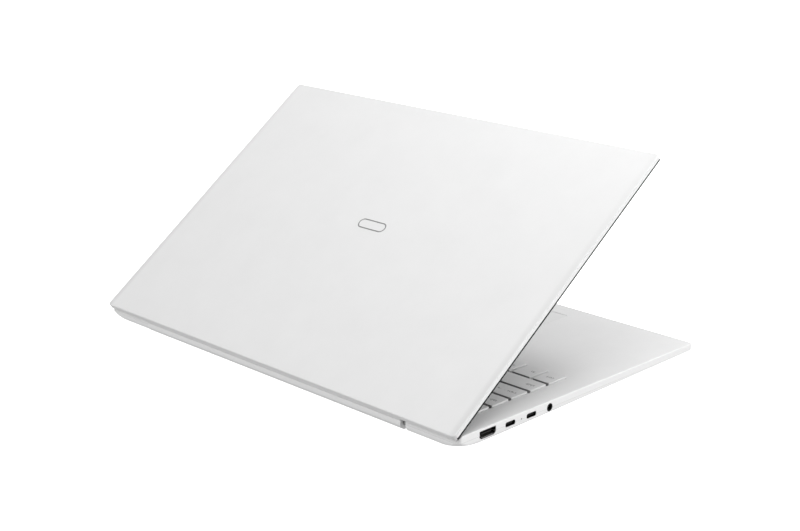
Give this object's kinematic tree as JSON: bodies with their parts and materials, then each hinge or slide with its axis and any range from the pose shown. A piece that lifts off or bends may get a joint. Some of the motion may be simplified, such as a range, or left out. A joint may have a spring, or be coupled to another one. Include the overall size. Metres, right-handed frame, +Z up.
{
  "type": "laptop computer",
  "caption": "Thin white clamshell laptop, open about a third, with a friction-hinged lid, moving keys, a click touchpad and cooling fans.",
  "frame": {"origin": "on the table, below the middle of the base's plan outline", "axes": "+X towards the user's right, +Y towards the hinge, +Z up"},
  "size_m": [0.3788, 0.2625, 0.1661],
  "materials": {
    "white_shell": "satin white paint on a thin light alloy shell",
    "key_white": "fine matte white keycap",
    "bezel_black": "matte black frame",
    "screen_black": "dark glossy screen",
    "gasket_black": "soft black seal",
    "foot_rubber": "light grey rubber",
    "hinge_steel": "turned and pressed steel",
    "screw_steel": "plated screw",
    "port_metal": "stamped socket shell",
    "jack_black": "black moulded socket",
    "touchpad_white": "etched white glass",
    "board_green": "solder mask",
    "chip_black": "moulded package",
    "pipe_copper": "plated copper",
    "fin_aluminium": "thin rolled sheet",
    "battery_wrap": "black film over flat cells",
    "lens_glass": "dark camera window",
    "light_pipe": "milky light pipe",
    "emblem_grey": "grey inlay",
    "fan_black": "black moulding",
    "dome_rubber": "translucent silicone",
    "aerial_brass": "thin foil aerial"
  },
  "bodies": {
    "base": {"audio_jack": "jack_black", "battery_pack": "battery_wrap", "bottom_cover": "white_shell", "bottom_screws": "screw_steel", "card_slot": "port_metal", "charge_light": "light_pipe", "data_ports": "port_metal", "fan_housings": "fan_black", "fin_stacks": "fin_aluminium", "heat_pipe": "pipe_copper", "hinge_bracket_left": "hinge_steel", "hinge_bracket_right": "hinge_steel", "hinge_pins": "hinge_steel", "key_domes": "dome_rubber", "keyboard_plate": "fin_aluminium", "mainboard": "board_green", "processor": "chip_black", "rubber_feet": "foot_rubber", "speakers": "fan_black", "storage_drive": "board_green", "top_case": "white_shell", "touchpad_bracket": "fin_aluminium", "video_port": "port_metal", "wide_data_ports": "port_metal", "wireless_card": "board_green"},
    "lid": {"antennas": "aerial_brass", "bezel_gasket": "gasket_black", "camera_lens": "lens_glass", "camera_module": "board_green", "display_bezel": "bezel_black", "display_cable": "chip_black", "display_panel": "screen_black", "hinge_arm_left": "hinge_steel", "hinge_arm_right": "hinge_steel", "hinge_cover": "white_shell", "lid_cover": "white_shell", "lid_emblem": "emblem_grey"},
    "touchpad": {"touchpad_plate": "touchpad_white"},
    "power_button": {"power_button": "key_white"},
    "fan_rotor_left": {"fan_rotor_left": "fan_black"},
    "fan_rotor_right": {"fan_rotor_right": "fan_black"},
    "key_alternate_left": {"key_alternate_left": "key_white"},
    "key_backspace": {"key_backspace": "key_white"},
    "key_caps": {"key_caps": "key_white"},
    "key_control_left": {"key_control_left": "key_white"},
    "key_enter": {"key_enter": "key_white"},
    "key_escape": {"key_escape": "key_white"},
    "key_function": {"key_function": "key_white"},
    "key_shift_left": {"key_shift_left": "key_white"},
    "key_shift_right": {"key_shift_right": "key_white"},
    "key_space": {"key_space": "key_white"},
    "key_system": {"key_system": "key_white"},
    "key_tab": {"key_tab": "key_white"},
    "keys_function_row": {"keys_function_row": "key_white"},
    "keys_home_letters": {"keys_home_letters": "key_white"},
    "keys_lower_letters": {"keys_lower_letters": "key_white"},
    "keys_lower_right": {"keys_lower_right": "key_white"},
    "keys_numbers": {"keys_numbers": "key_white"},
    "keys_numpad": {"keys_numpad": "key_white"},
    "keys_upper_letters": {"keys_upper_letters": "key_white"}
  },
  "joints": [
    {"name": "lid_hinge", "type": "hinge", "parent": "base", "child": "lid", "pos_m": [0, 0.125, 0.007], "axis": [-1, 0, 0], "range_deg": [-36.4, 83.6]},
    {"name": "touchpad_click", "type": "hinge", "parent": "base", "child": "touchpad", "pos_m": [-0.0175, -0.0286, 0.012], "axis": [1, 0, 0], "range_deg": [0, 0.35], "stiffness_Nm_per_rad": 12, "springref_deg": -0.34},
    {"name": "power_button_press", "type": "slide", "parent": "base", "child": "power_button", "axis": [0, 0, -1], "range_m": [0, 0.0013], "stiffness_N_per_m": 250, "springref_m": -0.001},
    {"name": "key_alternate_left_press", "type": "slide", "parent": "base", "child": "key_alternate_left", "axis": [0, 0, -1], "range_m": [0, 0.0013], "stiffness_N_per_m": 250, "springref_m": -0.001},
    {"name": "key_backspace_press", "type": "slide", "parent": "base", "child": "key_backspace", "axis": [0, 0, -1], "range_m": [0, 0.0013], "stiffness_N_per_m": 250, "springref_m": -0.001},
    {"name": "key_caps_press", "type": "slide", "parent": "base", "child": "key_caps", "axis": [0, 0, -1], "range_m": [0, 0.0013], "stiffness_N_per_m": 250, "springref_m": -0.001},
    {"name": "key_control_left_press", "type": "slide", "parent": "base", "child": "key_control_left", "axis": [0, 0, -1], "range_m": [0, 0.0013], "stiffness_N_per_m": 250, "springref_m": -0.001},
    {"name": "key_enter_press", "type": "slide", "parent": "base", "child": "key_enter", "axis": [0, 0, -1], "range_m": [0, 0.0013], "stiffness_N_per_m": 250, "springref_m": -0.001},
    {"name": "key_escape_press", "type": "slide", "parent": "base", "child": "key_escape", "axis": [0, 0, -1], "range_m": [0, 0.0013], "stiffness_N_per_m": 250, "springref_m": -0.001},
    {"name": "key_function_press", "type": "slide", "parent": "base", "child": "key_function", "axis": [0, 0, -1], "range_m": [0, 0.0013], "stiffness_N_per_m": 250, "springref_m": -0.001},
    {"name": "key_shift_left_press", "type": "slide", "parent": "base", "child": "key_shift_left", "axis": [0, 0, -1], "range_m": [0, 0.0013], "stiffness_N_per_m": 250, "springref_m": -0.001},
    {"name": "key_shift_right_press", "type": "slide", "parent": "base", "child": "key_shift_right", "axis": [0, 0, -1], "range_m": [0, 0.0013], "stiffness_N_per_m": 250, "springref_m": -0.001},
    {"name": "key_space_press", "type": "slide", "parent": "base", "child": "key_space", "axis": [0, 0, -1], "range_m": [0, 0.0013], "stiffness_N_per_m": 250, "springref_m": -0.001},
    {"name": "key_system_press", "type": "slide", "parent": "base", "child": "key_system", "axis": [0, 0, -1], "range_m": [0, 0.0013], "stiffness_N_per_m": 250, "springref_m": -0.001},
    {"name": "key_tab_press", "type": "slide", "parent": "base", "child": "key_tab", "axis": [0, 0, -1], "range_m": [0, 0.0013], "stiffness_N_per_m": 250, "springref_m": -0.001},
    {"name": "keys_function_row_press", "type": "slide", "parent": "base", "child": "keys_function_row", "axis": [0, 0, -1], "range_m": [0, 0.0013], "stiffness_N_per_m": 2125, "springref_m": -0.001},
    {"name": "keys_home_letters_press", "type": "slide", "parent": "base", "child": "keys_home_letters", "axis": [0, 0, -1], "range_m": [0, 0.0013], "stiffness_N_per_m": 1375, "springref_m": -0.001},
    {"name": "keys_lower_letters_press", "type": "slide", "parent": "base", "child": "keys_lower_letters", "axis": [0, 0, -1], "range_m": [0, 0.0013], "stiffness_N_per_m": 1250, "springref_m": -0.001},
    {"name": "keys_lower_right_press", "type": "slide", "parent": "base", "child": "keys_lower_right", "axis": [0, 0, -1], "range_m": [0, 0.0013], "stiffness_N_per_m": 750, "springref_m": -0.001},
    {"name": "keys_numbers_press", "type": "slide", "parent": "base", "child": "keys_numbers", "axis": [0, 0, -1], "range_m": [0, 0.0013], "stiffness_N_per_m": 1625, "springref_m": -0.001},
    {"name": "keys_numpad_press", "type": "slide", "parent": "base", "child": "keys_numpad", "axis": [0, 0, -1], "range_m": [0, 0.0013], "stiffness_N_per_m": 2125, "springref_m": -0.001},
    {"name": "keys_upper_letters_press", "type": "slide", "parent": "base", "child": "keys_upper_letters", "axis": [0, 0, -1], "range_m": [0, 0.0013], "stiffness_N_per_m": 1625, "springref_m": -0.001},
    {"name": "fan_left_spin", "type": "hinge", "parent": "base", "child": "fan_rotor_left", "pos_m": [-0.112, 0.084, 0.005], "axis": [0, 0, 1], "continuous": true},
    {"name": "fan_right_spin", "type": "hinge", "parent": "base", "child": "fan_rotor_right", "pos_m": [0.112, 0.084, 0.005], "axis": [0, 0, 1], "continuous": true}
  ]
}
